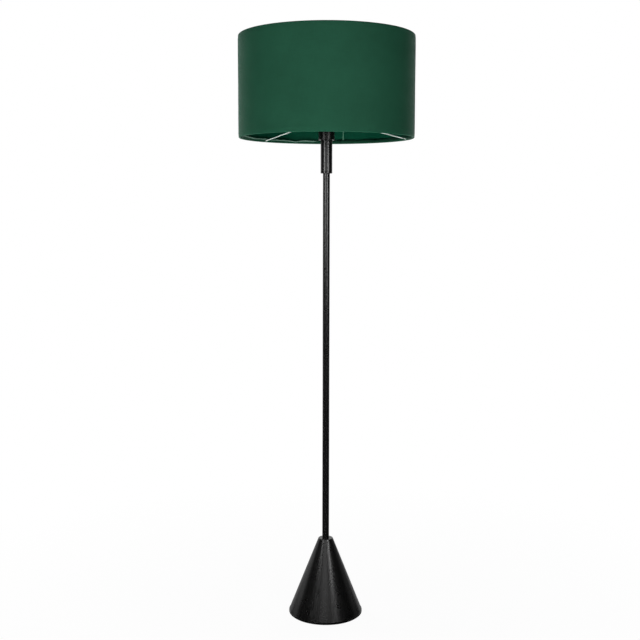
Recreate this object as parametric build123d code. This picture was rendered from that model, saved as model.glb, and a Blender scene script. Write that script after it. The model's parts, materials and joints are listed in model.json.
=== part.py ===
from build123d import *
from math import atan2, cos, degrees, radians, sin, tan
import os

# A round fabric-shaded floor lamp on a straight pole and a cone foot.
# Millimetres, +Z up, origin on the floor under the pole's axis. The front of the lamp faces -Y,
# and the cord leaves at the back, +Y.

# ---- driving dimensions ------------------------------------------------------------------------
TOTAL_HEIGHT = 1509.5

FOOT_PAD_THICK = 1.5
FOOT_PAD_RADIUS = 95.0
RIM_RADIUS = 97.5                # the cone stands on an upright rim
RIM_TOP_Z = 7.0
RIM_STEP = 1.0                   # how far the rim stands out from the slanted wall
RIM_INNER_RADIUS = 92.0          # the rim is turned in under the base plate
CONE_TOP_RADIUS = 19.0
CONE_TOP_Z = 203.0
CONE_WALL = 1.5
CONE_TOP_THICK = 2.5

PLATE_RADIUS = 94.5
PLATE_THICK = 1.5
WEIGHT_THICK = 26.0
WEIGHT_GAP = 1.0                 # between the weight and the cone's wall
WEIGHT_BORE_RADIUS = 12.0
WEIGHT_SLOT_WIDTH = 18.0
BASE_SCREW_CIRCLE = 62.0
BASE_SCREW_COUNT = 3
BASE_SCREW_START = -90.0
BASE_SCREW_RADIUS = 2.5
BASE_SCREW_HEAD_RADIUS = 4.5
BASE_SCREW_DEPTH = 13.0          # above the plate's underside

GROMMET_HEIGHT = 18.0            # of its axis at the cone's face
GROMMET_RADIUS = 8.3
GROMMET_NECK = 5.5
GROMMET_BORE = 3.4
GROMMET_OUT, GROMMET_IN = 2.2, 3.6

POLE_RADIUS = 9.0
POLE_WALL = 1.2
POLE_SECTIONS = ["pole_lower", "pole_middle", "pole_upper"]
POLE_SECTION_LENGTH = 321.0
INSERT_LENGTH = 18.0

THREAD_RADIUS = 5.0              # M10 x 1 hollow stud
STUD_BORE = 3.7
STUD_LENGTH = 30.0
NUT_ACROSS_FLATS = 14.0
BASE_NUT_THICK, HOLDER_NUT_THICK = 6.0, 5.0
WASHER_RADIUS, WASHER_THICK = 11.0, 1.5
SLIP = 0.1                       # radial room between pieces that fit into each other
FLEX_RADIUS = 2.8

SLEEVE_RADIUS = 15.0
SLEEVE_WALL = 1.2
SLEEVE_CAP_HEIGHT = 4.0
SLEEVE_LENGTH = 84.5

HOLDER_RADIUS = 20.5             # at the cap's foot
HOLDER_TOP_RADIUS = 21.6         # the moulding widens upwards by its draft
HOLDER_CAP_HEIGHT = 42.0
HOLDER_FLOOR = 4.0
HOLDER_WALL = 2.0
HOLDER_LEDGE = 2.0               # the step inside that the insulator stands on
TERMINAL_CIRCLE = 10.5
TERMINAL_RADIUS, TERMINAL_LENGTH = 3.0, 7.0
SKIRT_RADIUS = 19.8
SKIRT_BORE = 17.5
SKIRT_FLANGE_RADIUS = 24.0
SKIRT_FLANGE_THICK = 3.0
SKIRT_ABOVE_FLANGE = 25.0
SKIRT_THREAD_PITCH, SKIRT_THREAD_DEPTH = 2.0, 0.5
SHELL_RADIUS, SHELL_WALL, SHELL_LENGTH = 13.9, 0.4, 28.0

SHADE_RADIUS = 225.0
SHADE_HEIGHT = 255.0
COVER_THICK = 0.7
LINER_THICK = 0.5
HEM_DEPTH = 10.0
HEM_WIDTH = 6.0
RING_WIRE_RADIUS = 1.6
SPOKE_RADIUS = 1.5
SPOKE_ANGLES = [18.0, 138.0, 258.0]
FITTER_OUTER, FITTER_INNER, FITTER_THICK = 27.0, 20.5, 1.8

COLLAR_RADIUS, COLLAR_HEIGHT = 26.0, 9.0
COLLAR_FIT = 0.08                # radial running room on the holder's thread
COLLAR_RIBS = 30

GLOBE_RADIUS = 30.0
BULB_LENGTH = 108.0
GLASS_THICK = 0.8
BULB_CAP_RADIUS = 13.1
BULB_CAP_WALL = 0.4

# ---- places worked out from them ---------------------------------------------------------------
WALL_FOOT_RADIUS = RIM_RADIUS - RIM_STEP
CONE_SLOPE = (WALL_FOOT_RADIUS - CONE_TOP_RADIUS) / (CONE_TOP_Z - RIM_TOP_Z)
CONE_LEAN = degrees(atan2(CONE_SLOPE, 1.0))
PLATE_Z = FOOT_PAD_THICK + CONE_WALL
WEIGHT_Z = PLATE_Z + PLATE_THICK
WEIGHT_TOP = WEIGHT_Z + WEIGHT_THICK
POLE_BORE = POLE_RADIUS - POLE_WALL
POLE_TOP = CONE_TOP_Z + POLE_SECTION_LENGTH * len(POLE_SECTIONS)
SLEEVE_TOP = POLE_TOP + SLEEVE_LENGTH
HOLDER_FLOOR_TOP = SLEEVE_TOP + HOLDER_FLOOR
HOLDER_CAP_TOP = SLEEVE_TOP + HOLDER_CAP_HEIGHT
INSULATOR_Z, INSULATOR_TOP = HOLDER_CAP_TOP - 24.0, HOLDER_CAP_TOP - 8.0
CONTACT_FOOT = INSULATOR_Z + 6.0 # of the centre contact's stem
SHADE_Z = TOTAL_HEIGHT - SHADE_HEIGHT
SEAT_Z = SHADE_Z + 44.0          # top of the holder's flange, where the shade's fitter sits
FITTER_Z = SEAT_Z + SLIP
COLLAR_Z = FITTER_Z + FITTER_THICK + SLIP
SKIRT_TOP = SEAT_Z + SKIRT_ABOVE_FLANGE
RING_RADIUS = SHADE_RADIUS - COVER_THICK - LINER_THICK - 0.3 - RING_WIRE_RADIUS
RING_RISE = COVER_THICK + RING_WIRE_RADIUS + 0.3
BULB_Z = INSULATOR_TOP + 5.0     # the bulb's centre contact
GLOBE_Z = BULB_Z + BULB_LENGTH - GLOBE_RADIUS


# ---- shapes used more than once ----------------------------------------------------------------
def disc(radius, z_low, z_high):
    return Pos(0, 0, z_low) * Cylinder(radius, z_high - z_low, align=(Align.CENTER, Align.CENTER, Align.MIN))


def tube(outer, inner, z_low, z_high):
    return disc(outer, z_low, z_high) - disc(inner, z_low - 1, z_high + 1)


def lathe(points):
    """A solid turned about Z from a closed outline of (radius, height) points."""
    outline = Polyline([(radius, 0, height) for radius, height in points], close=True)
    return revolve(make_face(outline), Axis.Z)


def hex_nut(across_flats, bore, z_low, z_high):
    corner = across_flats / 2 / cos(radians(30))
    prism = Pos(0, 0, z_low) * extrude(RegularPolygon(corner, 6), z_high - z_low)
    dome = chamfer(disc(corner, z_low, z_high).edges().filter_by(GeomType.CIRCLE), 0.6)
    return (prism & dome) - disc(bore, z_low - 1, z_high + 1)


def place_round(solid, radius, count, start=0.0):
    """Copies of a solid, made on the axis, at equal angles on a circle."""
    turns = [start + 360 / count * k for k in range(count)]
    return [Rot(0, 0, turn) * Pos(radius, 0, 0) * solid for turn in turns]


def rod_between(start, end, radius):
    line = Line(start, end)
    return sweep(Plane(origin=start, z_dir=Vector(*end) - Vector(*start)) * Circle(radius), path=line)


def rims(solid, radius):
    """The circular edges of a given radius."""
    return [e for e in solid.edges().filter_by(GeomType.CIRCLE) if abs(e.radius - radius) < 0.01]


def cone_radius(z):
    return WALL_FOOT_RADIUS - CONE_SLOPE * (z - RIM_TOP_Z)


def cone_inner_radius(z):
    return cone_radius(z) - CONE_WALL / cos(radians(CONE_LEAN))


def weight_radius(z):
    return cone_inner_radius(max(z, RIM_TOP_Z)) - WEIGHT_GAP


# ---- foot --------------------------------------------------------------------------------------
def grommet_plane():
    """Origin on the cone's face at the back, normal to that face."""
    lean = radians(CONE_LEAN)
    face = (0, cone_radius(GROMMET_HEIGHT), GROMMET_HEIGHT)
    return Plane(origin=face, x_dir=(1, 0, 0), z_dir=(0, cos(lean), sin(lean)))


def make_cone():
    top_inner_z = CONE_TOP_Z - CONE_TOP_THICK
    shell = lathe([
        (RIM_INNER_RADIUS, FOOT_PAD_THICK),
        (RIM_RADIUS, FOOT_PAD_THICK),
        (RIM_RADIUS, RIM_TOP_Z),
        (WALL_FOOT_RADIUS, RIM_TOP_Z),
        (CONE_TOP_RADIUS, CONE_TOP_Z),
        (THREAD_RADIUS + SLIP, CONE_TOP_Z),
        (THREAD_RADIUS + SLIP, top_inner_z),
        (cone_inner_radius(top_inner_z), top_inner_z),
        (cone_inner_radius(RIM_TOP_Z), RIM_TOP_Z),
        (cone_inner_radius(RIM_TOP_Z), PLATE_Z),
        (RIM_INNER_RADIUS, PLATE_Z),
    ])
    shell = fillet(rims(shell, CONE_TOP_RADIUS), 1.5)
    shell = fillet(rims(shell, RIM_RADIUS), 0.8)
    hole = grommet_plane() * Cylinder(GROMMET_NECK + SLIP, 20)
    return shell - hole


def make_grommet(cone):
    length = GROMMET_OUT + GROMMET_IN
    blank = Cylinder(GROMMET_RADIUS, length, align=(Align.CENTER, Align.CENTER, Align.MAX))
    blank = fillet(blank.edges().filter_by(GeomType.CIRCLE).group_by(Axis.Z)[-1], 1.4)
    body = grommet_plane() * Pos(0, 0, GROMMET_OUT) * blank - cone
    return body - grommet_plane() * Cylinder(GROMMET_BORE, 40)


def base_screw_holes():
    hole = disc(BASE_SCREW_RADIUS + SLIP, PLATE_Z - 1, PLATE_Z + BASE_SCREW_DEPTH + 1)
    return place_round(hole, BASE_SCREW_CIRCLE, BASE_SCREW_COUNT, BASE_SCREW_START)


def make_weight():
    block = lathe([
        (WEIGHT_BORE_RADIUS, WEIGHT_Z),
        (weight_radius(WEIGHT_Z), WEIGHT_Z),
        (weight_radius(RIM_TOP_Z), RIM_TOP_Z),
        (weight_radius(WEIGHT_TOP), WEIGHT_TOP),
        (WEIGHT_BORE_RADIUS, WEIGHT_TOP),
    ])
    channel = Box(WEIGHT_SLOT_WIDTH, 200, 3 * WEIGHT_THICK, align=(Align.CENTER, Align.MIN, Align.CENTER))
    for hole in base_screw_holes():
        block -= hole
    return block - Pos(0, 0, WEIGHT_Z) * channel


def make_plate():
    plate = disc(PLATE_RADIUS, PLATE_Z, WEIGHT_Z)
    for hole in base_screw_holes():
        plate -= hole
    return plate


def make_base_screws():
    head = disc(BASE_SCREW_HEAD_RADIUS, FOOT_PAD_THICK, PLATE_Z)
    screw = head + disc(BASE_SCREW_RADIUS, PLATE_Z, PLATE_Z + BASE_SCREW_DEPTH)
    return Compound(children=place_round(screw, BASE_SCREW_CIRCLE, BASE_SCREW_COUNT, BASE_SCREW_START))


STRAP_SIZE = (44.0, 14.0, 2.0)   # it bridges the weight's channel and carries the terminal block
BLOCK_SIZE = (20.0, 14.0, 12.0)
BLOCK_Y = 40.0
BLOCK_BASE = WEIGHT_TOP + STRAP_SIZE[2]
BLOCK_SCREW_RADIUS = 1.7
BLOCK_SCREW_LOW, BLOCK_SCREW_LENGTH = BLOCK_BASE + 6.0, 5.0
BLOCK_SCREWS = [(x, BLOCK_Y + y) for x in (-5.0, 5.0) for y in (-4.0, 4.0)]


def make_block_strap():
    return Pos(0, BLOCK_Y, WEIGHT_TOP) * Box(*STRAP_SIZE, align=(Align.CENTER, Align.CENTER, Align.MIN))


def make_terminal_block():
    body = Pos(0, BLOCK_Y, BLOCK_BASE) * Box(*BLOCK_SIZE, align=(Align.CENTER, Align.CENTER, Align.MIN))
    body = fillet(body.edges().filter_by(Axis.Z), 1.5)
    for x, y in BLOCK_SCREWS:
        body -= Pos(x, y, 0) * disc(BLOCK_SCREW_RADIUS + SLIP, BLOCK_SCREW_LOW, BLOCK_BASE + 20)
    return body


def make_terminal_screws():
    screw = disc(BLOCK_SCREW_RADIUS, BLOCK_SCREW_LOW, BLOCK_SCREW_LOW + BLOCK_SCREW_LENGTH)
    return Compound(children=[Pos(x, y, 0) * screw for x, y in BLOCK_SCREWS])


# ---- pole --------------------------------------------------------------------------------------
def section_ends():
    """Lower and upper height of each pole section."""
    lows = [CONE_TOP_Z + POLE_SECTION_LENGTH * k for k in range(len(POLE_SECTIONS))]
    return [(low, low + POLE_SECTION_LENGTH) for low in lows]


def make_pole_section(low, high):
    section = tube(POLE_RADIUS, POLE_BORE, low, high)
    return chamfer(rims(section, POLE_RADIUS), 0.25)


def make_inserts():
    inserts = []
    for low, high in section_ends():
        inserts.append(tube(POLE_BORE - SLIP, THREAD_RADIUS + SLIP, low, low + INSERT_LENGTH))
        inserts.append(tube(POLE_BORE - SLIP, THREAD_RADIUS + SLIP, high - INSERT_LENGTH, high))
    return Compound(children=inserts)


def make_joint_studs():
    joints = [high for low, high in section_ends()[:-1]]
    return Compound(children=[
        tube(THREAD_RADIUS, STUD_BORE, z - STUD_LENGTH / 2, z + STUD_LENGTH / 2) for z in joints
    ])


FLEX_ROUTE = [
    (0, BLOCK_Y - BLOCK_SIZE[1] / 2, BLOCK_BASE + 4),
    (0, 5, BLOCK_BASE + 4),
    (0, 0, BLOCK_BASE + 62),
    (0, 0, INSULATOR_Z),
]


def make_inner_flex():
    """The lead that the lamp holds all the way, from the terminal block up to the lampholder."""
    radii = []
    for before, corner, after in zip(FLEX_ROUTE, FLEX_ROUTE[1:], FLEX_ROUTE[2:]):
        run_in, run_out = Vector(*corner) - Vector(*before), Vector(*after) - Vector(*corner)
        half_turn = radians(run_in.get_angle(run_out)) / 2
        radii.append(0.45 * min(run_in.length, run_out.length) / tan(half_turn))
    path = FilletPolyline(*FLEX_ROUTE, radius=radii)
    print("inner_flex arc radii", [round(r, 1) for r in radii], "length", round(path.length, 1))
    start = Plane(origin=path @ 0, z_dir=path % 0)
    return sweep(start * Circle(FLEX_RADIUS), path=path)


# ---- sleeve and lampholder ---------------------------------------------------------------------
def make_sleeve_cap():
    cap = disc(SLEEVE_RADIUS, POLE_TOP, POLE_TOP + SLEEVE_CAP_HEIGHT)
    cap = chamfer(cap.edges().filter_by(GeomType.CIRCLE), 0.5)
    spigot_radius = SLEEVE_RADIUS - SLEEVE_WALL - SLIP
    cap += disc(spigot_radius, POLE_TOP + SLEEVE_CAP_HEIGHT, POLE_TOP + SLEEVE_CAP_HEIGHT + 3)
    return cap - disc(THREAD_RADIUS + SLIP, POLE_TOP - 1, POLE_TOP + 20)


def make_sleeve_tube():
    sleeve = tube(SLEEVE_RADIUS, SLEEVE_RADIUS - SLEEVE_WALL, POLE_TOP + SLEEVE_CAP_HEIGHT, SLEEVE_TOP)
    return chamfer(rims(sleeve, SLEEVE_RADIUS), 0.5)


def make_holder_cap():
    inner = HOLDER_RADIUS - HOLDER_WALL
    ledge = inner - HOLDER_LEDGE
    cap = lathe([
        (THREAD_RADIUS + SLIP, SLEEVE_TOP),
        (HOLDER_RADIUS, SLEEVE_TOP),
        (HOLDER_TOP_RADIUS, HOLDER_CAP_TOP),
        (inner, HOLDER_CAP_TOP),
        (inner, INSULATOR_Z),
        (ledge, INSULATOR_Z),
        (ledge, HOLDER_FLOOR_TOP),
        (THREAD_RADIUS + SLIP, HOLDER_FLOOR_TOP),
    ])
    return fillet(rims(cap, HOLDER_RADIUS) + rims(cap, HOLDER_TOP_RADIUS), 0.6)


def make_holder_skirt():
    """Threaded barrel with the flange that the shade's fitter rests on."""
    spigot = HOLDER_RADIUS - HOLDER_WALL - SLIP
    skirt = lathe([
        (SKIRT_BORE - 1.0, INSULATOR_TOP),
        (spigot, INSULATOR_TOP),
        (spigot, HOLDER_CAP_TOP),
        (SKIRT_RADIUS, HOLDER_CAP_TOP),
        (SKIRT_RADIUS, SEAT_Z - SKIRT_FLANGE_THICK),
        (SKIRT_FLANGE_RADIUS, SEAT_Z - SKIRT_FLANGE_THICK),
        (SKIRT_FLANGE_RADIUS, SEAT_Z),
        (SKIRT_RADIUS, SEAT_Z),
        (SKIRT_RADIUS, SKIRT_TOP),
        (SKIRT_BORE, SKIRT_TOP),
        (SKIRT_BORE, HOLDER_CAP_TOP),
        (SKIRT_BORE - 1.0, HOLDER_CAP_TOP),
    ])
    groove = Torus(SKIRT_RADIUS + 0.2, SKIRT_THREAD_DEPTH + 0.2)
    z = COLLAR_Z + COLLAR_HEIGHT + SKIRT_THREAD_PITCH
    while z < SKIRT_TOP - SKIRT_THREAD_PITCH / 2:
        skirt -= Pos(0, 0, z) * groove
        z += SKIRT_THREAD_PITCH
    return skirt


def make_insulator():
    body = disc(HOLDER_RADIUS - HOLDER_WALL - 2 * SLIP, INSULATOR_Z, INSULATOR_TOP)
    body -= disc(4.0, CONTACT_FOOT, INSULATOR_TOP + 1)
    well = disc(TERMINAL_RADIUS + 0.2, INSULATOR_Z - 1, INSULATOR_Z + TERMINAL_LENGTH + 1)
    for hole in place_round(well, TERMINAL_CIRCLE, 2):
        body -= hole
    return body


def make_holder_terminals():
    terminal = disc(TERMINAL_RADIUS, INSULATOR_Z, INSULATOR_Z + TERMINAL_LENGTH)
    return Compound(children=place_round(terminal, TERMINAL_CIRCLE, 2))


def make_screw_shell():
    low = INSULATOR_TOP
    return tube(SHELL_RADIUS, SHELL_RADIUS - SHELL_WALL, low + 0.5, low + SHELL_LENGTH) + tube(
        SHELL_RADIUS, 8.0, low, low + 0.5
    )


def make_centre_contact():
    head_low = BULB_Z - 1.4
    stem = disc(2.4, CONTACT_FOOT, head_low)
    head = disc(5.0, head_low, BULB_Z - 0.2)
    return stem + head


# ---- shade -------------------------------------------------------------------------------------
def ring_wire(z):
    return Pos(0, 0, z) * Torus(RING_RADIUS, RING_WIRE_RADIUS)


def spoke_ends(angle):
    a = radians(angle)
    outer = (RING_RADIUS * cos(a), RING_RADIUS * sin(a), SHADE_Z + RING_RISE + 1.0)
    hub = FITTER_OUTER - 1.5
    inner = (hub * cos(a), hub * sin(a), FITTER_Z + FITTER_THICK / 2)
    return outer, inner


def make_spokes(ring, fitter):
    spokes = []
    for angle in SPOKE_ANGLES:
        spoke = rod_between(*spoke_ends(angle), SPOKE_RADIUS)
        for other in (ring, fitter):
            spoke -= other
        spokes.append(max(spoke.solids(), key=lambda s: s.volume))
    return spokes


def make_cover():
    """The fabric skin: a straight drum wall, turned in round both wires as a hem."""
    wall, hem = SHADE_RADIUS - COVER_THICK, SHADE_RADIUS - HEM_WIDTH
    low, high = SHADE_Z, TOTAL_HEIGHT
    skin = lathe([
        (SHADE_RADIUS, low),
        (SHADE_RADIUS, high),
        (hem, high),
        (hem, high - HEM_DEPTH),
        (hem + COVER_THICK, high - HEM_DEPTH),
        (hem + COVER_THICK, high - COVER_THICK),
        (wall, high - COVER_THICK),
        (wall, low + COVER_THICK),
        (hem + COVER_THICK, low + COVER_THICK),
        (hem + COVER_THICK, low + HEM_DEPTH),
        (hem, low + HEM_DEPTH),
        (hem, low),
    ])
    for angle in SPOKE_ANGLES:
        skin -= rod_between(*spoke_ends(angle), SPOKE_RADIUS + 0.4)
    return max(skin.solids(), key=lambda s: s.volume)


def make_liner():
    outer = SHADE_RADIUS - COVER_THICK - SLIP
    gap = COVER_THICK + SLIP
    return tube(outer, outer - LINER_THICK, SHADE_Z + gap, TOTAL_HEIGHT - gap)


def make_collar():
    """Ribbed ring that screws down on the fitter."""
    ring = tube(COLLAR_RADIUS, SKIRT_RADIUS + COLLAR_FIT, COLLAR_Z, COLLAR_Z + COLLAR_HEIGHT)
    ring = chamfer(rims(ring, COLLAR_RADIUS), 0.6)
    groove = disc(0.9, COLLAR_Z + 2, COLLAR_Z + COLLAR_HEIGHT + 1)
    for cut in place_round(groove, COLLAR_RADIUS + 0.3, COLLAR_RIBS):
        ring -= cut
    return ring


# ---- bulb --------------------------------------------------------------------------------------
def globe_outline(inset):
    """Half section of the globe and its neck, made smaller all round by inset."""
    sphere = GLOBE_RADIUS - inset
    neck, neck_z = BULB_CAP_RADIUS - 0.6 - inset, BULB_Z + 25.0
    low_angle = -50.0
    a = radians(low_angle)
    meet = (sphere * cos(a), 0, GLOBE_Z + sphere * sin(a))
    dome = CenterArc((0, 0, 0), sphere, low_angle, 90.0 - low_angle)
    dome = Pos(0, 0, GLOBE_Z) * Rot(90, 0, 0) * dome
    flare = Spline((neck, 0, neck_z), meet, tangents=[(0, 0, 1), (-sin(a), 0, cos(a))])
    foot = Line((0, 0, neck_z - 3), (neck, 0, neck_z - 3))
    rise = Line((neck, 0, neck_z - 3), (neck, 0, neck_z))
    axis = Line((0, 0, neck_z - 3), (0, 0, GLOBE_Z + sphere))
    return make_face([dome, flare, foot, rise, axis])


def make_globe():
    """Hollow glass, open at its neck, where the metal cap closes it."""
    return revolve(globe_outline(0), Axis.Z) - revolve(globe_outline(GLASS_THICK), Axis.Z)


def make_bulb_cap():
    low, high = BULB_Z + 5.0, BULB_Z + 26.5
    hollow = disc(BULB_CAP_RADIUS - BULB_CAP_WALL, low + BULB_CAP_WALL, high + 1)
    return disc(BULB_CAP_RADIUS, low, high) - hollow - disc(7.0, low - 1, low + 1)


def make_bulb_insulator():
    return lathe([(3.6, BULB_Z + 1.0), (5.0, BULB_Z + 1.0), (11.0, BULB_Z + 5.0), (3.6, BULB_Z + 5.0)])


def make_bulb_contact():
    return disc(3.5, BULB_Z, BULB_Z + 5.0)


# ---- the whole lamp ----------------------------------------------------------------------------
def make_lamp():
    parts = {}
    parts["foot_pad"] = disc(FOOT_PAD_RADIUS, 0, FOOT_PAD_THICK)
    parts["base_cone"] = make_cone()
    parts["cord_grommet"] = make_grommet(parts["base_cone"])
    parts["base_plate"] = make_plate()
    parts["base_weight"] = make_weight()
    parts["base_screws"] = make_base_screws()
    parts["block_strap"] = make_block_strap()
    parts["terminal_block"] = make_terminal_block()
    parts["terminal_screws"] = make_terminal_screws()

    thread_hole = THREAD_RADIUS + SLIP
    under_top = CONE_TOP_Z - CONE_TOP_THICK
    under_washer = under_top - WASHER_THICK
    parts["base_stud"] = tube(THREAD_RADIUS, STUD_BORE, CONE_TOP_Z - 14, CONE_TOP_Z + INSERT_LENGTH - 2)
    parts["base_washer"] = tube(WASHER_RADIUS, thread_hole, under_washer, under_top)
    parts["base_nut"] = hex_nut(NUT_ACROSS_FLATS, thread_hole, under_washer - BASE_NUT_THICK, under_washer)

    for name, (low, high) in zip(POLE_SECTIONS, section_ends()):
        parts[name] = make_pole_section(low, high)
    parts["pole_inserts"] = make_inserts()
    parts["joint_studs"] = make_joint_studs()
    parts["inner_flex"] = make_inner_flex()

    parts["neck_stud"] = tube(THREAD_RADIUS, STUD_BORE, POLE_TOP - INSERT_LENGTH + 2, HOLDER_FLOOR_TOP + 6)
    parts["sleeve_cap"] = make_sleeve_cap()
    parts["sleeve_tube"] = make_sleeve_tube()
    sleeve_bore = SLEEVE_RADIUS - SLEEVE_WALL
    parts["sleeve_disc"] = tube(sleeve_bore - SLIP, thread_hole, SLEEVE_TOP - 3, SLEEVE_TOP)
    parts["holder_cap"] = make_holder_cap()
    holder_nut_top = HOLDER_FLOOR_TOP + HOLDER_NUT_THICK
    parts["holder_nut"] = hex_nut(NUT_ACROSS_FLATS, thread_hole, HOLDER_FLOOR_TOP, holder_nut_top)
    parts["holder_skirt"] = make_holder_skirt()
    parts["holder_insulator"] = make_insulator()
    parts["holder_terminals"] = make_holder_terminals()
    parts["screw_shell"] = make_screw_shell()
    parts["centre_contact"] = make_centre_contact()

    parts["shade_ring_bottom"] = ring_wire(SHADE_Z + RING_RISE)
    parts["shade_ring_top"] = ring_wire(TOTAL_HEIGHT - RING_RISE)
    parts["fitter_ring"] = tube(FITTER_OUTER, FITTER_INNER, FITTER_Z, FITTER_Z + FITTER_THICK)
    spokes = make_spokes(parts["shade_ring_bottom"], parts["fitter_ring"])
    for number, spoke in enumerate(spokes, start=1):
        parts[f"spoke_{number}"] = spoke
    parts["shade_cover"] = make_cover()
    parts["shade_liner"] = make_liner()
    parts["shade_collar"] = make_collar()

    parts["bulb_globe"] = make_globe()
    parts["bulb_cap"] = make_bulb_cap()
    parts["bulb_insulator"] = make_bulb_insulator()
    parts["bulb_contact"] = make_bulb_contact()
    return parts


os.makedirs("parts", exist_ok=True)
for name, solid in make_lamp().items():
    export_step(solid, f"parts/{name}.step")
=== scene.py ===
import json
import math

import bmesh
import bpy
from mathutils import Matrix, Vector, noise


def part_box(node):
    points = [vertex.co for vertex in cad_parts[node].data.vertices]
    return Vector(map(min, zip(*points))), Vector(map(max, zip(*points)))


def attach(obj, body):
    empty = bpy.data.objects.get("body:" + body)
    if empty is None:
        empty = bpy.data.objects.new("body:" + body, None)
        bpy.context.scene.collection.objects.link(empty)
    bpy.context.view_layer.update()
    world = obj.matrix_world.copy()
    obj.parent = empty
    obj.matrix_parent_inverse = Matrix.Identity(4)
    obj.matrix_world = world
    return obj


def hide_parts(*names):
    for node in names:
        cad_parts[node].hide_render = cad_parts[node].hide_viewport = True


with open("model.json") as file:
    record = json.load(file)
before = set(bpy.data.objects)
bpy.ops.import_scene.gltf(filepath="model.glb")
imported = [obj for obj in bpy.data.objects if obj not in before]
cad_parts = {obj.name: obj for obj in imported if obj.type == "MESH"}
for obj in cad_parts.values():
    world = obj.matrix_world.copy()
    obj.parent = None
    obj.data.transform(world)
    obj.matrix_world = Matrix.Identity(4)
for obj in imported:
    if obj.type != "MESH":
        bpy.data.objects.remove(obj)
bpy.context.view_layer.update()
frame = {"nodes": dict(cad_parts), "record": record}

MM = 0.001
nodes = frame["nodes"]

# ---- where things are, read from the frame ------------------------------------------------------
cover_low, cover_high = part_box("shade_cover")
ring_low, ring_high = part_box("shade_ring_bottom")
top_ring_low, top_ring_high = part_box("shade_ring_top")
fitter_low, fitter_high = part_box("fitter_ring")
liner_low, liner_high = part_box("shade_liner")
skirt_low, skirt_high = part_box("holder_skirt")
shell_low, shell_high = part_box("screw_shell")
cap_low, cap_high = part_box("bulb_cap")

SHADE_RADIUS = cover_high.x
SHADE_LOW, SHADE_HIGH = cover_low.z, cover_high.z
WIRE = (ring_high.z - ring_low.z) / 2
RING_RADIUS = ring_high.x - WIRE
SEAM_ANGLE = math.radians(77.7)      # the fabric's overlap, at the back


# ---- materials ----------------------------------------------------------------------------------
class Shader:
    """A material's node tree round one Principled BSDF, with short calls to add and join nodes."""

    def __init__(self, name, **values):
        self.material = bpy.data.materials.new(name)
        self.material.use_nodes = True
        self.tree = self.material.node_tree
        self.surface = self.tree.nodes["Principled BSDF"]
        for socket, value in values.items():
            self.surface.inputs[socket.replace("_", " ")].default_value = value

    def add(self, kind, settings=(), **inputs):
        made = self.tree.nodes.new("ShaderNode" + kind)
        for key, value in dict(settings).items():
            setattr(made, key, value)
        for socket, value in inputs.items():
            self.feed(made, socket, value)
        return made

    def feed(self, made, socket, value):
        """Sets an input, by name or by number written as _0, to a value or to another node's output."""
        key = int(socket[1:]) if socket.startswith("_") else socket.replace("_", " ")
        target = made.inputs[key]
        if isinstance(value, bpy.types.Node):
            value = value.outputs[0]
        if isinstance(value, bpy.types.NodeSocket):
            self.tree.links.new(value, target)
        else:
            target.default_value = value

    def math(self, operation, a, b=0.0):
        return self.add("Math", {"operation": operation}, _0=a, _1=b)

    def place(self):
        """Object coordinates, which are metres in the lamp's own frame."""
        return self.add("TexCoord").outputs["Object"]

    def noise(self, scale, detail=3.0, roughness=0.5, stretch=None, where=None):
        where = where or self.place()
        if stretch:
            where = self.add("Mapping", Vector=where, Scale=stretch)
        made = self.add("TexNoise", Vector=where, Scale=scale, Detail=detail, Roughness=roughness)
        return made.outputs["Fac"]

    def cells(self, scale, feature):
        made = self.add("TexVoronoi", {"feature": feature}, Vector=self.place(), Scale=scale)
        return made.outputs["Distance"]

    def between(self, value, low, high, low_in=0.3, high_in=0.7):
        """A value from a noise, spread over low to high."""
        made = self.add("MapRange", Value=value, From_Min=low_in, From_Max=high_in, To_Min=low, To_Max=high)
        return made.outputs["Result"]

    def blend(self, factor, first, second):
        """A colour between two, each a triple or another node's output."""
        made = self.add("Mix", {"data_type": "RGBA"})
        self.feed(made, "_0", factor)
        for socket, value in ((6, first), (7, second)):
            if isinstance(value, tuple):
                made.inputs[socket].default_value = (*value, 1.0)
            else:
                self.tree.links.new(value, made.inputs[socket])
        return made.outputs[2]

    def bump(self, height, distance, strength):
        """A bump of up to distance, in metres."""
        made = self.add("Bump", Height=height, Distance=distance, Strength=strength)
        return made.outputs["Normal"]

    def set(self, **inputs):
        """Sets the BSDF's inputs, and gives the finished material."""
        for socket, value in inputs.items():
            self.feed(self.surface, socket, value)
        return self.material


def powder_coat():
    """Satin black powder coat: a faint orange peel, clouded a little in colour and in gloss."""
    s = Shader("powder_coat", Metallic=0.0, IOR=1.5, Specular_IOR_Level=0.9)
    peel = s.noise(900, detail=2)
    cloud = s.noise(14, detail=4)
    color = s.blend(s.between(cloud, 0, 1), (0.0018, 0.0018, 0.0019), (0.0030, 0.0029, 0.0028))
    rough = s.between(s.noise(60, detail=5), 0.265, 0.300)
    return s.set(Base_Color=color, Roughness=rough, Normal=s.bump(peel, 0.00001, 0.3))


def moulded_black():
    """Black thermoset moulding, with a grain much finer than the paint's."""
    s = Shader("moulded_black", Metallic=0.0, IOR=1.5, Specular_IOR_Level=0.8)
    grain = s.noise(2600, detail=1)
    color = s.blend(s.between(s.noise(30), 0, 1), (0.0018, 0.0018, 0.0020), (0.0030, 0.0029, 0.0028))
    rough = s.between(s.noise(90, detail=4), 0.24, 0.31)
    return s.set(Base_Color=color, Roughness=rough, Normal=s.bump(grain, 0.00001, 0.3))


def rubber():
    """Matt black rubber of the cord's grommet."""
    s = Shader("grommet_rubber", Metallic=0.0)
    color = s.blend(s.between(s.noise(220, detail=5), 0, 1), (0.010, 0.010, 0.010), (0.022, 0.021, 0.020))
    rough = s.between(s.noise(140), 0.57, 0.70)
    return s.set(Base_Color=color, Roughness=rough, Normal=s.bump(s.noise(1800, detail=2), 0.00006, 0.6))


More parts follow.
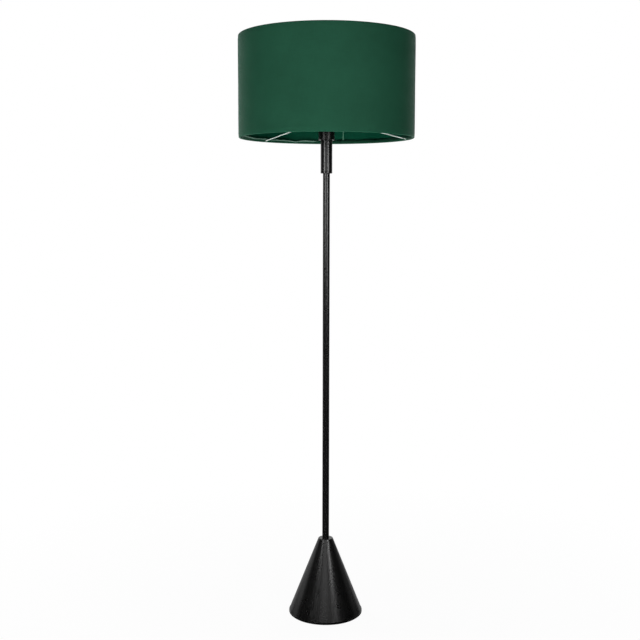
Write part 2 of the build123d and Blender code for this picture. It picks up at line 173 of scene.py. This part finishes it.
def foam():
    """Closed-cell foam of the foot pad: small open cells where it was cut."""
    s = Shader("foot_foam", Metallic=0.0)
    cells = s.cells(1400, "DISTANCE_TO_EDGE")
    color = s.blend(s.between(cells, 0, 1, 0.0, 0.35), (0.008, 0.008, 0.008), (0.030, 0.030, 0.029))
    return s.set(Base_Color=color, Roughness=s.between(s.noise(300), 0.85, 0.97),
                 Normal=s.bump(cells, 0.00025, 0.8))


def zinc():
    """Zinc plate, spangled, with drawing marks along the lamp's height."""
    s = Shader("zinc_plate", Metallic=1.0)
    spots = s.cells(420, "F1")
    color = s.blend(s.between(spots, 0, 1, 0.1, 0.7), (0.50, 0.51, 0.53), (0.66, 0.66, 0.64))
    drawn = s.noise(260, stretch=(1, 1, 0.08))
    return s.set(Base_Color=color, Roughness=s.between(drawn, 0.26, 0.44),
                 Normal=s.bump(drawn, 0.00003, 0.5))


def cast_iron():
    """Iron as it leaves a sand mould."""
    s = Shader("cast_iron", Metallic=0.6)
    sand = s.noise(420, detail=6, roughness=0.7)
    color = s.blend(s.between(s.noise(26), 0, 1), (0.055, 0.053, 0.050), (0.095, 0.088, 0.080))
    return s.set(Base_Color=color, Roughness=s.between(sand, 0.6, 0.85),
                 Normal=s.bump(sand, 0.0006, 0.7))


def nylon():
    """Natural polyamide of the terminal block."""
    s = Shader("terminal_nylon", Metallic=0.0, Roughness=0.45, Subsurface_Weight=0.15)
    color = s.blend(s.between(s.noise(120), 0, 1), (0.74, 0.73, 0.68), (0.82, 0.81, 0.76))
    return s.set(Base_Color=color, Normal=s.bump(s.noise(900), 0.00003, 0.4))


def brass():
    """Brass with fine rings from the lathe."""
    s = Shader("brass", Metallic=1.0)
    turned = s.noise(700, stretch=(0.05, 0.05, 1))
    color = s.blend(s.between(s.noise(60, detail=4), 0, 1), (0.72, 0.52, 0.22), (0.82, 0.64, 0.32))
    return s.set(Base_Color=color, Roughness=s.between(turned, 0.22, 0.38),
                 Normal=s.bump(turned, 0.00003, 0.6))


def nickel():
    """Rolled sheet of the bulb's cap, a little hazed by handling."""
    s = Shader("nickel_plate", Metallic=1.0)
    haze = s.noise(160, detail=5)
    color = s.blend(s.between(haze, 0, 1), (0.62, 0.60, 0.55), (0.76, 0.74, 0.69))
    return s.set(Base_Color=color, Roughness=s.between(haze, 0.18, 0.36),
                 Normal=s.bump(haze, 0.00004, 0.4))


def cable_sheath():
    """Black sheath, drawn along the lamp's height."""
    s = Shader("cable_sheath", Metallic=0.0)
    color = s.blend(s.between(s.noise(90), 0, 1), (0.010, 0.010, 0.010), (0.018, 0.018, 0.017))
    return s.set(Base_Color=color, Roughness=s.between(s.noise(200), 0.40, 0.52),
                 Normal=s.bump(s.noise(600, stretch=(1, 1, 0.1)), 0.00005, 0.4))


def steatite():
    """White glazed ceramic."""
    s = Shader("steatite", Metallic=0.0, Roughness=0.32, Subsurface_Weight=0.1)
    color = s.blend(s.between(s.noise(300, detail=5), 0, 1), (0.76, 0.74, 0.68), (0.84, 0.83, 0.78))
    return s.set(Base_Color=color, Normal=s.bump(s.noise(500), 0.00006, 0.5))


def white_wire():
    """White powder coat on wire, tinted a little green as painted bounce light from the green shade round
    it.
    """
    s = Shader("white_coat_painted_green_bounce", Metallic=0.0)
    # the green in both tones is painted bounce light from the shade, not the coat's own colour
    color = s.blend(s.between(s.noise(70, detail=4), 0, 1), (0.70, 0.79, 0.74), (0.78, 0.87, 0.81))
    return s.set(Base_Color=color, Roughness=s.between(s.noise(150), 0.34, 0.46),
                 Normal=s.bump(s.noise(1100, detail=2), 0.00005, 0.6))


def opal_glass():
    """White glass that light gets a little way into."""
    s = Shader("opal_glass", Metallic=0.0, Roughness=0.16, IOR=1.5, Subsurface_Weight=0.35,
               Subsurface_Radius=(0.006, 0.006, 0.005))
    color = s.blend(s.between(s.noise(40, detail=4), 0, 1), (0.84, 0.83, 0.79), (0.88, 0.88, 0.85))
    return s.set(Base_Color=color, Normal=s.bump(s.noise(120), 0.00003, 0.4))


def vitrite():
    """Black glass between the bulb's cap and its contact."""
    s = Shader("vitrite", Metallic=0.0, Roughness=0.12)
    color = s.blend(s.between(s.noise(200), 0, 1), (0.010, 0.010, 0.013), (0.020, 0.018, 0.022))
    return s.set(Base_Color=color, Normal=s.bump(s.noise(260), 0.00008, 0.5))


CLOTH_MAP, FRAY_AND_PAINTED_HIGHLIGHT = "cloth", "fray"        # the fabric's UV map, and its attribute for frayed edges and for the painted highlight on the loose hem's edge
WARP_PITCH, WEFT_PITCH = 0.92 * MM, 1.00 * MM


def woven(name, dark, light, frayed_edge, sheen, sheen_tint):
    """Plain weave on the cloth's own map, in metres: threads over and under, slubs, uneven dye.

    Where the mesh marks the cloth as frayed, its cut threads are paler. On the loose lower hem's edge that
    paler colour is also a painted highlight, where the edge catches the light.
    """
    s = Shader(name, Metallic=0.0, Roughness=0.72, Specular_IOR_Level=0.17, Sheen_Weight=sheen,
               Sheen_Roughness=0.22, Sheen_Tint=(*sheen_tint, 1.0))
    cloth = s.add("UVMap", {"uv_map": CLOTH_MAP}).outputs["UV"]
    parted = s.add("SeparateXYZ", Vector=cloth)
    across, up = parted.outputs["X"], parted.outputs["Y"]
    drift = s.between(s.noise(55, detail=2, where=cloth), -0.5, 0.5)
    warp = s.math("ADD", s.math("DIVIDE", across, WARP_PITCH), drift)
    weft = s.math("ADD", s.math("DIVIDE", up, WEFT_PITCH), drift)
    warp_wave = s.math("ABSOLUTE", s.math("SINE", s.math("MULTIPLY", warp, math.pi)))
    weft_wave = s.math("ABSOLUTE", s.math("SINE", s.math("MULTIPLY", weft, math.pi)))
    over = s.math("PINGPONG", s.math("ADD", s.math("FLOOR", warp), s.math("FLOOR", weft)), 1.0)
    under = s.math("SUBTRACT", 1.0, over)
    crown = s.math("ADD", s.math("MULTIPLY", warp_wave, over), s.math("MULTIPLY", weft_wave, under))
    warp_slub = s.noise(900, detail=2, stretch=(1.0, 0.035, 1), where=cloth)
    weft_slub = s.noise(900, detail=2, stretch=(0.035, 1.0, 1), where=cloth)
    slub = s.math("ADD", s.math("MULTIPLY", warp_slub, over), s.math("MULTIPLY", weft_slub, under))
    cloud = s.noise(11, detail=5, roughness=0.6, where=cloth)
    tone = s.math("ADD", s.math("MULTIPLY", slub, 0.55), s.math("MULTIPLY", crown, 0.30))
    tone = s.math("ADD", tone, s.math("MULTIPLY", cloud, 0.45))
    color = s.blend(s.between(tone, 0, 1, 0.38, 0.98), dark, light)
    # paler cut edges: real fraying, and on the loose lower hem a painted highlight
    frayed = s.add("Attribute", {"attribute_name": FRAY_AND_PAINTED_HIGHLIGHT}).outputs["Fac"]
    color = s.blend(frayed, color, frayed_edge)
    height = s.math("ADD", s.math("MULTIPLY", crown, 0.7), s.math("MULTIPLY", slub, 0.6))
    return s.set(Base_Color=color, Normal=s.bump(height, 0.00022, 0.65))


def film(name, dark, light):
    """Smooth self-adhesive film inside the shade, dyed through, with faint flow marks."""
    s = Shader(name, Metallic=0.0, Specular_IOR_Level=0.06)
    streak = s.noise(30, detail=3, stretch=(1, 1, 0.15))
    color = s.blend(s.between(streak, 0, 1), dark, light)
    return s.set(Base_Color=color, Roughness=s.between(s.noise(80), 0.50, 0.62),
                 Normal=s.bump(s.noise(350, detail=3), 0.00008, 0.5))


FINISH = {
    "black_paint": powder_coat(),
    "foot_foam": foam(),
    "black_rubber": rubber(),
    "bare_steel": zinc(),
    "cast_iron": cast_iron(),
    "white_block": nylon(),
    "brass_parts": brass(),
    "black_cable": cable_sheath(),
    "black_holder": moulded_black(),
    "ceramic": steatite(),
    # white wire, with painted green bounce light in its colour
    "white_wire": white_wire(),
    # the pale edge colour is fraying and, on the loose lower hem, a painted highlight
    "green_fabric": woven("green_weave", (0.0068, 0.0535, 0.0285), (0.0142, 0.0905, 0.0495),
                          frayed_edge=(0.30, 0.50, 0.40), sheen=0.22, sheen_tint=(0.72, 0.92, 0.82)),
    "green_liner": film("liner_film", (0.0022, 0.0640, 0.0330), (0.0038, 0.0760, 0.0400)),
    "opal_glass": opal_glass(),
    "bulb_metal": nickel(),
    "bulb_black": vitrite(),
}

for entry in frame["record"]["subparts"]:
    carried = nodes[entry["node"]]
    carried.data.materials.clear()
    carried.data.materials.append(FINISH[entry["material_slot"]])


# ---- mesh helpers -------------------------------------------------------------------------------
def new_piece(name, verts, faces, slot, body, stands_for=()):
    """A smooth-shaded mesh, with edges of over 40 degrees kept sharp and points in one place joined."""
    mesh = bpy.data.meshes.new(name)
    mesh.from_pydata([tuple(v) for v in verts], [], faces)
    shape = bmesh.new()
    shape.from_mesh(mesh)
    bmesh.ops.remove_doubles(shape, verts=shape.verts, dist=0.001 * MM)
    shape.to_mesh(mesh)
    shape.free()
    mesh.shade_smooth()
    mesh.set_sharp_from_angle(angle=math.radians(40))
    piece = bpy.data.objects.new(name, mesh)
    bpy.context.scene.collection.objects.link(piece)
    mesh.materials.append(FINISH[slot])
    if stands_for:
        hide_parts(*stands_for)
    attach(piece, body)
    return piece


def grid_faces(rows, columns, wrap):
    """Quads of a grid whose rows follow one another; wrap joins the last row to the first."""
    faces = []
    for r in range(rows if wrap else rows - 1):
        here, after = r * columns, (r + 1) % rows * columns
        for c in range(columns - 1):
            faces.append((here + c, after + c, after + c + 1, here + c + 1))
    return faces


def ring_faces(rows, columns, first=0):
    """Quads between rings of points that follow one another, counted from the first ring's first point."""
    faces = []
    for r in range(rows):
        for c in range(columns):
            a, b = first + r * columns + c, first + r * columns + (c + 1) % columns
            faces.append((a, b, b + columns, a + columns))
    return faces


def smooth_step(x):
    """0 below 0, 1 above 1, and an even curve from one to the other."""
    x = min(max(x, 0.0), 1.0)
    return x * x * (3 - 2 * x)


def arc_points(centre, radius, start, end, count):
    """Points (radius, height) on an arc, angles in degrees."""
    steps = [math.radians(start + (end - start) * k / count) for k in range(count + 1)]
    return [(centre[0] + radius * math.cos(a), centre[1] + radius * math.sin(a)) for a in steps]


def lapped(angle, before, over):
    """How far a strip that has been wound to an angle lies on its own beginning, 0 to 1.

    It starts to rise at an angle before one full turn, and has risen over another angle.
    """
    return smooth_step((angle - 2 * math.pi + before) / over)


# ---- the shade's fabric -------------------------------------------------------------------------
CLOTH, FILM = 0.6 * MM, 0.4 * MM     # thicknesses
LAP_GAP = 0.12 * MM                  # glue between the two layers of a lap
HEM = 10.0 * MM
OVERLAP, FILM_OVERLAP = 14.0 * MM, 16.0 * MM
WAVE = 0.30 * MM                     # how far the wall is from a true cylinder, at most
WALL_RADIUS = SHADE_RADIUS - CLOTH / 2 - 0.25 * MM
EASE, EASE_STEPS = 9.0 * MM, 6       # height over which the wall swells out from each wire
LIP = 2.2 * MM                       # width of the lower hem's cut edge
CURL = 2.4 * MM                      # how far that edge leans inwards where it is loose
LOOSE_FROM, LOOSE_TO, LOOSE_FADE = math.radians(95), math.radians(176), math.radians(4)
PUCKER, PUCKER_WIDTH = math.radians(113), math.radians(3.2)
CLIMB_FROM, CLIMB_OVER = math.radians(150), math.radians(20)
LIFT_ROWS = (1.0, 0.76, 0.49, 0.22)  # how much of the edge's rise or fall the hem's first rows share


def hem_and_wall():
    """The cloth's line: a cut edge, round the lower wire, up the wall, round the upper wire, an edge."""
    reach = WIRE + CLOTH / 2 + 0.1 * MM
    low_z, high_z = (ring_low.z + ring_high.z) / 2, (top_ring_low.z + top_ring_high.z) / 2
    hem_foot = RING_RADIUS - reach
    bottom = [
        (hem_foot + 1.7 * MM, SHADE_LOW + HEM),
        (hem_foot + 1.4 * MM, SHADE_LOW + HEM - LIP),
        (hem_foot + 0.9 * MM, SHADE_LOW + 0.66 * HEM),
        (hem_foot + 0.3 * MM, SHADE_LOW + 0.48 * HEM),
    ]
    bottom += arc_points((RING_RADIUS, low_z), reach, 176, 360, 15)
    fold, steps = RING_RADIUS + reach, 56
    wall_low, wall_high = low_z + EASE, high_z - EASE
    wall = [(WALL_RADIUS, wall_low + (wall_high - wall_low) * k / steps) for k in range(steps + 1)]
    shares = [k / EASE_STEPS for k in range(1, EASE_STEPS)]
    swell = [(fold + (WALL_RADIUS - fold) * smooth_step(share), EASE * share) for share in shares]
    rising = [(r, low_z + z) for r, z in swell]
    closing = [(r, high_z - z) for r, z in reversed(swell)]
    inside = liner_high.x - 0.5 * MM - CLOTH / 2 - 0.1 * MM
    top = arc_points((RING_RADIUS, high_z), reach, 0, 200, 14)
    top += [
        (inside - 0.9 * MM, SHADE_HIGH - 0.62 * HEM),
        (inside - 0.15 * MM, SHADE_HIGH - 0.8 * HEM),
        (inside, SHADE_HIGH - HEM),
    ]
    return bottom + rising + wall + closing + top


def loose_edge(angle):
    """The lower hem's edge at an angle: how loose it is, 0 to 1, and how far it has risen."""
    loose = smooth_step((angle - LOOSE_FROM) / LOOSE_FADE) * smooth_step((LOOSE_TO - angle) / LOOSE_FADE)
    pucker = math.exp(-((angle - PUCKER) / PUCKER_WIDTH) ** 2)
    climb = smooth_step((angle - CLIMB_FROM) / CLIMB_OVER)
    ripple = noise.noise(Vector((9 * angle, 0, 0)))
    # in mm: it droops by 0.8 all along, dips by 3.6 at the pucker and climbs by 3.2 at its far end
    return loose, loose * (3.2 * climb - 3.6 * pucker + 1.2 * ripple - 0.8) * MM


def frayed(row, last, loose):
    """How pale a row of the cloth's line is painted, 0 to 1: its cut edges a little for fraying, the loose
    hem far more, which is mostly a painted highlight where its edge catches the light.
    """
    if row == 0:
        return 0.1 + 0.9 * loose
    if row == 1:
        return 0.6 * loose
    return 0.1 if row == last else 0.0


def make_fabric():
    """One sheet of cloth, wound round the shade and lapped on its own start, with a hem at each wire."""
    line = hem_and_wall()
    last = len(line) - 1
    run = [0.0]
    for (r0, z0), (r1, z1) in zip(line, line[1:]):
        run.append(run[-1] + math.hypot(r1 - r0, z1 - z0))
    turn = 2 * math.pi + OVERLAP / WALL_RADIUS
    start = SEAM_ANGLE - OVERLAP / WALL_RADIUS / 2
    around = 540
    verts, maps, frays = [], [], []
    for i in range(around + 1):
        angle = turn * i / around
        lap = lapped(angle, before=0.030, over=0.022)
        loose, rise = loose_edge((start + angle) % (2 * math.pi))
        spot = Vector((2.2 * math.cos(start + angle), 2.2 * math.sin(start + angle), 0))    # in the noise
        for j, (radius, z) in enumerate(line):
            depth = (z - SHADE_LOW) / (SHADE_HIGH - SHADE_LOW)
            slack = math.sin(math.pi * min(max(depth, 0), 1))
            r, cut = radius, 0.0
            if radius >= RING_RADIUS + WIRE:
                r += noise.noise(spot + Vector((0, 0, 3.0 * depth))) * WAVE * slack
                r += lap * (CLOTH + LAP_GAP)
            else:
                r -= lap * (CLOTH + LAP_GAP)
            if j in (0, last):
                cut = noise.noise(spot * 4 + Vector((0, 0, j))) * 1.3 * MM * (1 - loose)
            if j < len(LIFT_ROWS):
                cut += rise * LIFT_ROWS[j]
                r -= loose * CURL * LIFT_ROWS[j] ** 2
            verts.append((r * math.cos(start + angle), r * math.sin(start + angle), z + cut))
            maps.append((angle * WALL_RADIUS, run[j]))
            # the pale edge share, which is fraying and, on the loose hem, a painted highlight
            frays.append(frayed(j, last, loose))
    faces = grid_faces(around + 1, len(line), wrap=False)
    fabric = new_piece("shade_fabric", verts, faces, "green_fabric", "shade", stands_for=["shade_cover"])
    layer = fabric.data.uv_layers.new(name=CLOTH_MAP)
    for loop in fabric.data.loops:
        layer.data[loop.index].uv = maps[loop.vertex_index]
    fray = fabric.data.attributes.new(FRAY_AND_PAINTED_HIGHLIGHT, "FLOAT", "POINT")
    fray.data.foreach_set("value", frays)
    thick = fabric.modifiers.new("cloth_thickness", "SOLIDIFY")
    thick.thickness, thick.offset = CLOTH, 0.0


def make_film():
    """The stiff liner: one strip, lapped inwards at the same place as the cloth."""
    radius = liner_high.x - FILM / 2 - 0.05 * MM
    low, high = liner_low.z + 1 * MM, liner_high.z - 1 * MM
    turn = 2 * math.pi + FILM_OVERLAP / radius
    start = SEAM_ANGLE - FILM_OVERLAP / radius
    around, rows = 480, 24
    verts = []
    for i in range(around + 1):
        angle = turn * i / around
        r = radius - lapped(angle, before=0.024, over=0.018) * (FILM + LAP_GAP)
        x, y = r * math.cos(start + angle), r * math.sin(start + angle)
        for j in range(rows + 1):
            verts.append((x, y, low + (high - low) * j / rows))
    faces = grid_faces(around + 1, rows + 1, wrap=False)
    piece = new_piece("shade_film", verts, faces, "green_liner", "shade", stands_for=["shade_liner"])
    thick = piece.modifiers.new("film_thickness", "SOLIDIFY")
    thick.thickness, thick.offset = FILM, 0.0


def make_lap_edge():
    """The lap's cut edge inside the shade: a ridge of glue, pale on the film, that tapers upwards."""
    radius = liner_high.x - 2 * FILM - 0.30 * MM
    low, high = SHADE_LOW + HEM + 1 * MM, SHADE_HIGH - HEM - 1 * MM
    rows, columns = 120, 8
    verts = []
    for i in range(rows + 1):
        z = low + (high - low) * i / rows
        wander = noise.noise(Vector((0, 0, 60 * z)))
        foot = smooth_step(1 - (z - low) / (30 * MM))
        width = (0.6 + 1.1 * foot + 0.3 * noise.noise(Vector((5, 0, 140 * z)))) * MM
        for j in range(columns):
            turn = 2 * math.pi * j / columns
            angle = SEAM_ANGLE + (0.5 * wander * MM + width * math.cos(turn)) / radius
            r = radius + 0.28 * MM * math.sin(turn)
            verts.append((r * math.cos(angle), r * math.sin(angle), z))
    faces = ring_faces(rows, columns)
    faces.append(tuple(range(columns)))
    faces.append(tuple(reversed(range(rows * columns, (rows + 1) * columns))))
    ridge = new_piece("lap_glue_ridge", verts, faces, "green_liner", "shade")
    ridge.data.materials[0] = film("lap_glue", (0.090, 0.250, 0.165), (0.140, 0.330, 0.225))


make_film()
make_lap_edge()
make_fabric()


# ---- the shade's wire frame: weld beads ----------------------------------------------------------
def make_welds():
    """A small flattened bead where each spoke is welded to the fitter's edge."""
    for number in (1, 2, 3):
        spoke_low, spoke_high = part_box(f"spoke_{number}")
        far = [low if abs(low) > abs(high) else high for low, high in zip(spoke_low[:2], spoke_high[:2])]
        outward = Vector((far[0], far[1], 0)).normalized()
        along = Matrix.Rotation(math.atan2(outward.y, outward.x), 3, "Z")
        height = (fitter_low.z + fitter_high.z) / 2 - 0.2 * MM
        centre = outward * (fitter_high.x + 0.3 * MM) + Vector((0, 0, height))
        shape = bmesh.new()
        bmesh.ops.create_icosphere(shape, subdivisions=4, radius=1.0)
        for v in shape.verts:
            lump = 1 + 0.16 * noise.noise(v.co * 1.7 + Vector((number, 0, 0)))
            v.co = centre + along @ Vector((1.7 * v.co.x, 3.0 * v.co.y, 1.75 * v.co.z)) * lump * MM
        verts = [v.co.copy() for v in shape.verts]
        faces = [[v.index for v in f.verts] for f in shape.faces]
        shape.free()
        new_piece(f"weld_bead_{number}", verts, faces, "white_wire", "shade")


make_welds()


# ---- threads -------------------------------------------------------------------------------------
SHEET = 0.3 * MM                     # the rolled sheet of the bulb's cap and of its screw shell
E27_PITCH = 3.629 * MM


def turned(name, outline, around, slot, body, stands_for, pitch, depth, thickness=0.0):
    """A piece turned about the pole's axis from points (radius, height, share), with a right-hand thread.

    The thread cuts up to depth into the radius, times each point's share. With a thickness the outline
    is one sheet, and without one it is closed.
    """
    columns = outline if thickness else outline + outline[:1]
    verts = []
    for i in range(around):
        angle = 2 * math.pi * i / around
        for radius, z, share in columns:
            wave = 0.5 - 0.5 * math.cos(2 * math.pi * (z / pitch) - angle)
            r = radius - depth * share * wave
            verts.append((r * math.cos(angle), r * math.sin(angle), z))
    piece = new_piece(name, verts, grid_faces(around, len(columns), wrap=True), slot, body, stands_for)
    if thickness:
        sheet = piece.modifiers.new("sheet_thickness", "SOLIDIFY")
        sheet.thickness, sheet.offset = thickness, 0.0


def threaded_run(radius, low, high, pitch, fade=1.0):
    """Points up a threaded stretch, whose thread fades in and out over a share of one pitch."""
    steps = int((high - low) / pitch * 12)
    run = []
    for k in range(steps + 1):
        z = low + (high - low) * k / steps
        share = smooth_step((z - low) / (fade * pitch)) * smooth_step((high - z) / (fade * pitch))
        run.append((radius, z, share))
    return run


def make_bulb_cap():
    """Rolled cap: turned in at its foot, threaded, and plain where it grips the bulb."""
    outer = cap_high.x - SHEET / 2
    low, high = cap_low.z + SHEET / 2, cap_high.z
    outline = [
        (7.1 * MM, low, 0),
        (9.2 * MM, low, 0),
        (10.8 * MM, low + 0.25 * MM, 0),
        (11.7 * MM, low + 0.9 * MM, 0),
        (12.1 * MM, low + 1.9 * MM, 0),
        (outer - 0.5 * MM, low + 2.9 * MM, 0),
    ]
    outline += threaded_run(outer, low + 3.6 * MM, high - 4.6 * MM, E27_PITCH, fade=0.5)
    outline += [
        (outer - 0.35 * MM, high - 4.1 * MM, 0),
        (outer - 0.45 * MM, high - 2.2 * MM, 0),
        (outer - 0.15 * MM, high - 1.5 * MM, 0),
        (outer, high - 0.9 * MM, 0),
        (outer, high - SHEET / 2, 0),
    ]
    turned("bulb_cap_rolled", outline, 96, "bulb_metal", "bulb", ["bulb_cap"],
           E27_PITCH, 0.85 * MM, SHEET)


def make_screw_shell():
    """The rolled shell that the bulb's cap screws into."""
    outer = shell_high.x + 0.45 * MM
    low, high = shell_low.z + SHEET / 2, shell_high.z
    outline = [
        (8.1 * MM, low, 0),
        (12.4 * MM, low, 0),
        (13.4 * MM, low + 0.4 * MM, 0),
        (outer - 0.5 * MM, low + 1.2 * MM, 0),
    ]
    outline += threaded_run(outer, low + 2.2 * MM, high - 1.6 * MM, E27_PITCH)
    outline += [(outer + 0.25 * MM, high - SHEET / 2, 0)]
    turned("screw_shell_rolled", outline, 96, "brass_parts", "lamp_stand", ["screw_shell"],
           E27_PITCH, 0.75 * MM, SHEET)


def make_threaded_skirt():
    """The lampholder's barrel, with the round-bottomed thread that the collar runs on."""
    pitch = 2.0 * MM
    barrel, bore, ledge = 19.8 * MM, 17.5 * MM, 16.5 * MM
    spigot, flange, edge = 18.4 * MM, skirt_high.x, 0.45 * MM
    seat = fitter_low.z - 0.1 * MM       # the flange's upper face, which the fitter ring sits on
    flange_low = seat - 3.0 * MM
    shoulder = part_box("holder_cap")[1].z
    low, high = skirt_low.z, skirt_high.z
    foot = [(ledge, low), (spigot, low), (spigot, shoulder), (barrel, shoulder), (barrel, flange_low)]
    rim = arc_points((flange - edge, flange_low + edge), edge, -90, 0, 4)
    rim += arc_points((flange - edge, seat - edge), edge, 0, 90, 4)
    mouth = arc_points((barrel - edge, high - edge), edge, 0, 90, 4)
    mouth += [(bore, high), (bore, shoulder), (ledge, shoulder)]
    outline = [(r, z, 0) for r, z in foot + rim + [(barrel, seat)]]
    outline += threaded_run(barrel, seat + 0.2 * MM, high - 0.6 * MM, pitch)
    outline += [(r, z, 0) for r, z in mouth]
    turned("threaded_skirt", outline, 120, "black_holder", "lamp_stand", ["holder_skirt"],
           pitch, 0.55 * MM)


make_bulb_cap()
make_screw_shell()
make_threaded_skirt()


# ---- camera, floor and lights -------------------------------------------------------------------
FLOOR_Z = -0.1 * MM                  # just below the foot pad's face


def add_camera():
    """The view from the front, 2.6 m away and 1.07 m up, tilted a little down."""
    data = bpy.data.cameras.new("camera")
    data.sensor_width = 36.0
    data.lens = 56.47
    camera = bpy.data.objects.new("camera", data)
    bpy.context.scene.collection.objects.link(camera)
    pitch_down, roll = 0.1078, 0.0016
    turn = Matrix.Rotation(math.pi / 2 - pitch_down, 4, "X") @ Matrix.Rotation(roll, 4, "Z")
    camera.matrix_world = Matrix.Translation((-0.0159, -2.604, 1.0692)) @ turn
    bpy.context.scene.camera = camera


def add_floor():
    """A round floor that glows white to the camera, with a trace of shading near the lamp."""
    size, rings, around = 9.0, 24, 96
    verts, faces = [(0, 0, 0)], []
    for k in range(1, rings + 1):
        r = size * (k / rings) ** 1.6
        turns = [2 * math.pi * i / around for i in range(around)]
        verts += [(r * math.cos(turn), r * math.sin(turn), 0) for turn in turns]
    for i in range(around):
        faces.append((0, 1 + i, 1 + (i + 1) % around))
    faces += [tuple(reversed(face)) for face in ring_faces(rings - 1, around, first=1)]
    mesh = bpy.data.meshes.new("floor")
    mesh.from_pydata(verts, [], faces)
    mesh.transform(Matrix.Translation((0, 0, FLOOR_Z)))
    floor = bpy.data.objects.new("floor", mesh)
    bpy.context.scene.collection.objects.link(floor)
    s = Shader("floor_white", Base_Color=(0.86, 0.86, 0.86, 1.0), Roughness=0.9, Specular_IOR_Level=0.0)
    spread = s.add("VectorMath", {"operation": "LENGTH"}, _0=s.place()).outputs["Value"]
    seen = s.add("LightPath").outputs["Is Camera Ray"]
    glow = s.add("Emission", Color=(1, 1, 1, 1), Strength=s.between(seen, 0.05, 1.0, 0, 1))
    mixed = s.add("MixShader", _0=s.between(spread, 0.95, 1.0, 0.3, 1.3), _1=s.surface, _2=glow)
    s.tree.links.new(mixed.outputs[0], s.tree.nodes["Material Output"].inputs["Surface"])
    mesh.materials.append(s.material)
    floor.visible_glossy = False


def add_softbox(name, angle, distance, height, size, power, aim_height, in_gloss=True):
    """A rectangular softbox at an angle to the right of the camera's line, facing the lamp's axis."""
    data = bpy.data.lights.new(name, "AREA")
    data.shape = "RECTANGLE"
    data.size, data.size_y = size
    data.energy = power
    light = bpy.data.objects.new(name, data)
    bpy.context.scene.collection.objects.link(light)
    a = math.radians(angle)
    light.location = (distance * math.sin(a), -distance * math.cos(a), height)
    aim = Vector((0, 0, aim_height)) - light.location
    light.rotation_euler = aim.to_track_quat("-Z", "Y").to_euler()
    light.visible_camera = False
    light.visible_glossy = in_gloss


def add_world():
    """White to the camera, and nearly black to everything else."""
    world = bpy.data.worlds.new("world")
    bpy.context.scene.world = world
    world.use_nodes = True
    tree = world.node_tree
    tree.nodes.clear()
    out = tree.nodes.new("ShaderNodeOutputWorld")
    seen, lit = tree.nodes.new("ShaderNodeBackground"), tree.nodes.new("ShaderNodeBackground")
    for background, strength in ((seen, 1.0), (lit, 0.01)):
        background.inputs["Color"].default_value = (1, 1, 1, 1)
        background.inputs["Strength"].default_value = strength
    ray = tree.nodes.new("ShaderNodeLightPath")
    mix = tree.nodes.new("ShaderNodeMixShader")
    tree.links.new(ray.outputs["Is Camera Ray"], mix.inputs[0])
    tree.links.new(lit.outputs[0], mix.inputs[1])
    tree.links.new(seen.outputs[0], mix.inputs[2])
    tree.links.new(mix.outputs[0], out.inputs["Surface"])


bpy.context.scene.view_settings.view_transform = "Standard"
add_camera()
add_floor()
add_world()
# the angle, distance and height of each, its size, its power and the height that it faces
add_softbox("softbox_left", -39, 1.55, 1.55, (0.34, 1.26), 8.8, 1.5)
add_softbox("softbox_right", 33, 1.60, 1.48, (0.32, 1.40), 10.0, 1.5)
add_softbox("front_fill", -4, 2.30, 1.50, (1.30, 1.20), 4.0, 1.0)
add_softbox("backdrop_glow", 180, 1.60, 1.30, (2.60, 2.40), 14, 1.3)
add_softbox("backdrop_left", -125, 1.80, 1.10, (1.60, 2.20), 4.5, 1.0)
add_softbox("backdrop_right", 125, 1.80, 1.10, (1.60, 2.20), 1.2, 1.0)
add_softbox("floor_behind", 180, 1.60, 0.05, (3.00, 1.40), 4.0, 1.3)
add_softbox("floor_bounce", -18, 0.45, 0.03, (1.50, 1.20), 38.0, 1.7, in_gloss=False)
add_softbox("rim_left", -131, 1.50, 1.50, (0.80, 1.20), 12.0, 1.4, in_gloss=False)
add_softbox("rim_right", 152, 1.50, 1.50, (0.80, 1.20), 9.0, 1.4, in_gloss=False)
